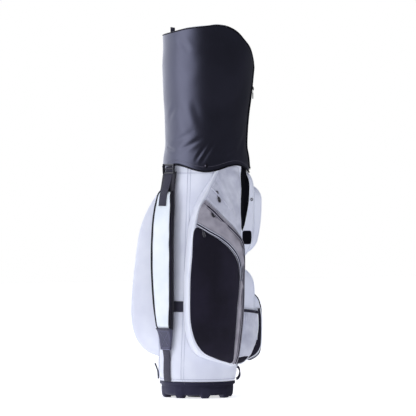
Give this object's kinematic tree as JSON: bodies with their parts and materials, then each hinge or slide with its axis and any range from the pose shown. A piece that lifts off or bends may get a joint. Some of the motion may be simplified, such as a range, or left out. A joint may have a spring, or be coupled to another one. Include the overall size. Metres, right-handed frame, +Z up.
{
  "type": "golf bag",
  "caption": "Upright golf bag: tube on a moulded base, domed zip pockets, divided top, lift-off rain hood and a padded shoulder strap.",
  "frame": {"origin": "centre of the base's underside, on the floor", "axes": "+Z up along the tube, -Y the ball pocket side, +Y the spine with the shoulder strap, -X and +X the side pockets"},
  "size_m": [0.3982, 0.4112, 1.302],
  "materials": {
    "white_fabric": "woven coated fabric, semi-matt",
    "light_grey_fabric": "coated fabric, semi-matt",
    "grey_satin": "satin",
    "black_fabric": "woven, matt",
    "hood_fabric": "coated fabric, satin",
    "webbing": "ribbed webbing",
    "strap_patch": "woven, stitched",
    "moulded_plastic": "fine grain",
    "liner_fabric": "matt",
    "bright_metal": "polished",
    "rod_metal": "satin",
    "rubber_pad": "matt",
    "buckle_plastic": "smooth",
    "board_plastic": "matt"
  },
  "bodies": {
    "bag": {"base_cup": "moulded_plastic", "base_rim_band": "moulded_plastic", "base_center_pad": "rubber_pad", "body_shell": "white_fabric", "bottom_liner": "board_plastic", "spine_board": "board_plastic", "full_length_divider": "liner_fabric", "stay_rod_1": "rod_metal", "stay_rod_2": "rod_metal", "stay_rod_3": "rod_metal", "stay_rod_4": "rod_metal", "top_collar": "moulded_plastic", "divider_grid": "moulded_plastic", "collar_handle_front": "moulded_plastic", "collar_handle_rear": "moulded_plastic", "side_pocket": "white_fabric", "apparel_pocket": "white_fabric", "front_upper_body": "white_fabric", "ball_pocket_body": "white_fabric", "front_upper_pocket": "white_fabric", "ball_pocket_outer": "black_fabric", "side_pocket_black_panel": "black_fabric", "side_pocket_satin_band": "grey_satin", "side_pocket_upper_panel": "light_grey_fabric", "slot_lining": "black_fabric", "glove_patch": "black_fabric", "slip_pocket": "light_grey_fabric", "slip_pocket_elastic": "webbing", "strap_bottom_webbing": "webbing", "keeper_band": "webbing"},
    "upper_panel_zip_slide": {"upper_panel_zip_slider": "bright_metal"},
    "upper_panel_zip_tab": {"upper_panel_zip_pull": "bright_metal"},
    "satin_band_zip_slide": {"satin_band_zip_slider": "bright_metal"},
    "satin_band_zip_tab": {"satin_band_zip_pull": "bright_metal"},
    "black_panel_zip_slide": {"black_panel_zip_slider": "bright_metal"},
    "black_panel_zip_tab": {"black_panel_zip_pull": "bright_metal"},
    "apparel_zip_slide": {"apparel_zip_slider": "bright_metal"},
    "apparel_zip_tab": {"apparel_zip_pull": "bright_metal"},
    "front_upper_zip_slide": {"front_upper_zip_slider": "bright_metal"},
    "front_upper_zip_tab": {"front_upper_zip_pull": "bright_metal"},
    "ball_zip_slide": {"ball_zip_slider": "bright_metal"},
    "ball_zip_tab": {"ball_zip_pull": "bright_metal"},
    "hood_zip_slide": {"hood_zip_slider": "bright_metal"},
    "hood_zip_tab": {"hood_zip_pull": "bright_metal"},
    "hood": {"hood_shell": "hood_fabric", "hood_piping": "hood_fabric", "hood_tab": "webbing", "snap_cap_1": "bright_metal", "snap_cap_2": "bright_metal", "snap_cap_3": "bright_metal", "snap_cap_4": "bright_metal"},
    "shoulder_strap": {"strap_pad": "white_fabric", "strap_backing": "black_fabric", "strap_end_patch": "strap_patch", "strap_top_webbing": "webbing", "strap_buckle": "buckle_plastic"},
    "front_loop": {"base_loop_front": "webbing"},
    "rear_loop": {"base_loop_rear": "webbing"}
  },
  "joints": [
    {"name": "hood_lift", "type": "slide", "parent": "bag", "child": "hood", "axis": [0, 0, 1], "range_m": [0, 0.6]},
    {"name": "strap_swing", "type": "hinge", "parent": "bag", "child": "shoulder_strap", "pos_m": [-0.008, 0.139, 0.17], "axis": [0.019, -0.0238, 0.9995], "range_deg": [-10, 10]},
    {"name": "front_loop_turn", "type": "hinge", "parent": "bag", "child": "front_loop", "pos_m": [-0.06228, -0.12784, 0.083], "axis": [0, 0, 1], "range_deg": [-20, 20]},
    {"name": "rear_loop_turn", "type": "hinge", "parent": "bag", "child": "rear_loop", "pos_m": [0.09883, 0.10224, 0.083], "axis": [0, 0, 1], "range_deg": [-20, 20]},
    {"name": "upper_panel_zip_travel", "type": "slide", "parent": "bag", "child": "upper_panel_zip_slide", "axis": [-0.3343, -0.0938, -0.9378], "range_m": [0, 0.03]},
    {"name": "upper_panel_zip_lift", "type": "hinge", "parent": "upper_panel_zip_slide", "child": "upper_panel_zip_tab", "pos_m": [-0.16054, 0.02902, 0.7052], "axis": [0.127, 0.9815, -0.1434], "range_deg": [0, 110]},
    {"name": "satin_band_zip_travel", "type": "slide", "parent": "bag", "child": "satin_band_zip_slide", "axis": [-0.3369, -0.2705, -0.9018], "range_m": [0, 0.03]},
    {"name": "satin_band_zip_lift", "type": "hinge", "parent": "satin_band_zip_slide", "child": "satin_band_zip_tab", "pos_m": [-0.16918, 0.06474, 0.65334], "axis": [0.1275, 0.9359, -0.3284], "range_deg": [0, 110]},
    {"name": "black_panel_zip_travel", "type": "slide", "parent": "bag", "child": "black_panel_zip_slide", "axis": [-0.2307, -0.1443, -0.9623], "range_m": [0, 0.03]},
    {"name": "black_panel_zip_lift", "type": "hinge", "parent": "black_panel_zip_slide", "child": "black_panel_zip_tab", "pos_m": [-0.1753, 0.10321, 0.58528], "axis": [0.2532, 0.9459, -0.2026], "range_deg": [0, 110]},
    {"name": "apparel_zip_travel", "type": "slide", "parent": "bag", "child": "apparel_zip_slide", "axis": [0.1412, -0.0985, -0.9851], "range_m": [0, 0.06]},
    {"name": "apparel_zip_lift", "type": "hinge", "parent": "apparel_zip_slide", "child": "apparel_zip_tab", "pos_m": [0.18042, 0.10048, 0.55171], "axis": [0.2486, -0.9596, 0.1316], "range_deg": [0, 110]},
    {"name": "front_upper_zip_travel", "type": "slide", "parent": "bag", "child": "front_upper_zip_slide", "axis": [0, -0.0455, -0.999], "range_m": [0, 0.04]},
    {"name": "front_upper_zip_lift", "type": "hinge", "parent": "front_upper_zip_slide", "child": "front_upper_zip_tab", "pos_m": [0.06271, -0.22792, 0.68124], "axis": [-0.9907, -0.1359, 0.0062], "range_deg": [0, 110]},
    {"name": "ball_zip_travel", "type": "slide", "parent": "bag", "child": "ball_zip_slide", "axis": [0, -0.2085, -0.978], "range_m": [0, 0.04]},
    {"name": "ball_zip_lift", "type": "hinge", "parent": "ball_zip_slide", "child": "ball_zip_tab", "pos_m": [-0.06673, -0.21967, 0.30227], "axis": [-0.9902, 0.1365, -0.0291], "range_deg": [0, 110]},
    {"name": "hood_zip_travel", "type": "slide", "parent": "hood", "child": "hood_zip_slide", "axis": [-0.0233, 0.0169, -0.9996], "range_m": [0, 0.05]},
    {"name": "hood_zip_lift", "type": "hinge", "parent": "hood_zip_slide", "child": "hood_zip_tab", "pos_m": [-0.09414, -0.17218, 1.071], "axis": [-0.8087, 0.5875, 0.0288], "range_deg": [0, 110]}
  ]
}
